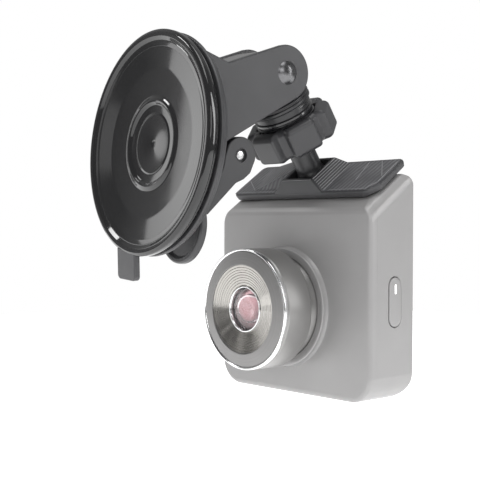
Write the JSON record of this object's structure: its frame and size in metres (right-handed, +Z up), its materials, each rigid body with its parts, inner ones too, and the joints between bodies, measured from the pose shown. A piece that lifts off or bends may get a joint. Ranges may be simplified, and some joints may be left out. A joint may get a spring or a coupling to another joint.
{
  "type": "dash camera",
  "caption": "Windscreen dash camera: lever-lock suction cup, tilting socket arm, clamp nut over a ball, adapter plate, and a slant-topped camera with a ball-seated lens.",
  "frame": {"origin": "centre of the suction cup's face, in the plane that meets the windscreen", "axes": "+Z up, -Y the way the lens looks, +X across the camera; the suction face is turned a few degrees from -Y as the mount is set"},
  "size_m": [0.0781, 0.0856, 0.1191],
  "materials": {
    "cup_rubber": "glossy flexible vinyl",
    "mount_plastic": "satin injection-moulded plastic",
    "black_metal": "black oxide",
    "steel": "plain steel",
    "seat_plastic": "natural acetal",
    "body_plastic": "satin grey paint",
    "lens_metal": "spun and anodised",
    "chrome": "polished",
    "lens_glass": "coated glass",
    "screen_glass": "black glass",
    "inner_black": "matt black",
    "board": "green circuit board",
    "gold": "plated",
    "foam_tape": "acrylic foam tape",
    "light_guide": "clear white light guide"
  },
  "bodies": {
    "base": {"base_housing": "mount_plastic", "base_ring": "mount_plastic", "suction_cup": "cup_rubber", "pivot_bolt": "black_metal", "pivot_nut": "black_metal"},
    "stem": {"cup_stem": "steel"},
    "lever": {"lock_lever": "mount_plastic", "lever_pin": "steel"},
    "arm": {"socket_arm": "mount_plastic", "pivot_washers": "steel"},
    "nut": {"clamp_nut": "mount_plastic"},
    "swivel": {"swivel_washer": "steel"},
    "seat": {"ball_seat": "seat_plastic"},
    "camera": {"adapter_plate": "mount_plastic", "ball_stud": "mount_plastic", "stud_screw": "steel", "adhesive_pad": "foam_tape", "front_cover": "body_plastic", "rear_cover": "body_plastic", "lens_socket": "lens_metal", "lens_retainer": "inner_black", "main_board": "board", "processor": "inner_black", "heat_spreader": "steel", "board_parts": "inner_black", "battery": "inner_black", "speaker": "inner_black", "microphone": "steel", "card_socket": "steel", "usb_port": "steel", "rear_camera_port": "inner_black", "lcd_panel": "inner_black", "screen_glass": "screen_glass", "antenna": "gold", "key_board": "board", "power_switch_board": "board", "case_screws": "steel", "board_screws": "steel"},
    "lens": {"lens_barrel": "lens_metal", "chrome_ring": "chrome", "face_ring": "lens_metal", "lens_cone": "lens_metal", "front_lens": "lens_glass", "lens_tube": "inner_black", "rear_lens": "lens_glass", "aperture_ring": "inner_black", "ir_filter": "lens_glass", "image_sensor": "inner_black", "sensor_board": "board"},
    "power_button": {"power_button": "body_plastic", "button_light": "light_guide"},
    "key_menu": {"key_menu": "body_plastic"},
    "key_up": {"key_up": "body_plastic"},
    "key_down": {"key_down": "body_plastic"},
    "key_record": {"key_record": "body_plastic"}
  },
  "joints": [
    {"name": "lever_open", "type": "hinge", "parent": "stem", "child": "lever", "pos_m": [0.00269, 0.03179, -0.00248], "axis": [0.9942, -0.0888, -0.0615], "range_deg": [0, 26]},
    {"name": "stem_slide", "type": "slide", "parent": "base", "child": "stem", "axis": [-0.0839, -0.9934, 0.0776], "range_m": [0, 0.0008], "deforming": ["suction_cup"]},
    {"name": "arm_tilt", "type": "hinge", "parent": "base", "child": "arm", "pos_m": [0.00572, 0.04658, 0.02518], "axis": [0.9942, -0.0888, -0.0615], "range_deg": [-5, 60]},
    {"name": "nut_turn", "type": "hinge", "parent": "arm", "child": "nut", "pos_m": [0.00572, 0.05614, 0.01137], "axis": [0, -0.5693, 0.8221], "range_deg": [0, 150]},
    {"name": "ball_swivel", "type": "hinge", "parent": "arm", "child": "swivel", "pos_m": [0.00572, 0.05614, 0.01137], "axis": [0, -0.5693, 0.8221], "range_deg": [-40, 40]},
    {"name": "ball_pitch", "type": "hinge", "parent": "swivel", "child": "seat", "pos_m": [0.00572, 0.05614, 0.01137], "axis": [0.9942, -0.0888, -0.0615], "range_deg": [-6, 12]},
    {"name": "ball_roll", "type": "hinge", "parent": "seat", "child": "camera", "pos_m": [0.00572, 0.05614, 0.01137], "axis": [0.108, 0.8173, 0.5659], "range_deg": [-12, 12]},
    {"name": "lens_tilt", "type": "hinge", "parent": "camera", "child": "lens", "pos_m": [0.00252, 0.06175, -0.05395], "axis": [1, 0, 0], "range_deg": [-8, 8]},
    {"name": "power_press", "type": "slide", "parent": "camera", "child": "power_button", "axis": [-1, 0, 0], "range_m": [0, 0.0005], "stiffness_N_per_m": 900, "springref_m": -0.0005},
    {"name": "key_menu_press", "type": "slide", "parent": "camera", "child": "key_menu", "axis": [0, -1, 0], "range_m": [0, 0.0005], "stiffness_N_per_m": 700, "springref_m": -0.0005},
    {"name": "key_up_press", "type": "slide", "parent": "camera", "child": "key_up", "axis": [0, -1, 0], "range_m": [0, 0.0005], "stiffness_N_per_m": 700, "springref_m": -0.0005},
    {"name": "key_down_press", "type": "slide", "parent": "camera", "child": "key_down", "axis": [0, -1, 0], "range_m": [0, 0.0005], "stiffness_N_per_m": 700, "springref_m": -0.0005},
    {"name": "key_record_press", "type": "slide", "parent": "camera", "child": "key_record", "axis": [0, -1, 0], "range_m": [0, 0.0005], "stiffness_N_per_m": 700, "springref_m": -0.0005}
  ],
  "couplings": [
    {"joint": "stem_slide", "follows": "lever_open", "m_per_rad": 0.0017629}
  ]
}
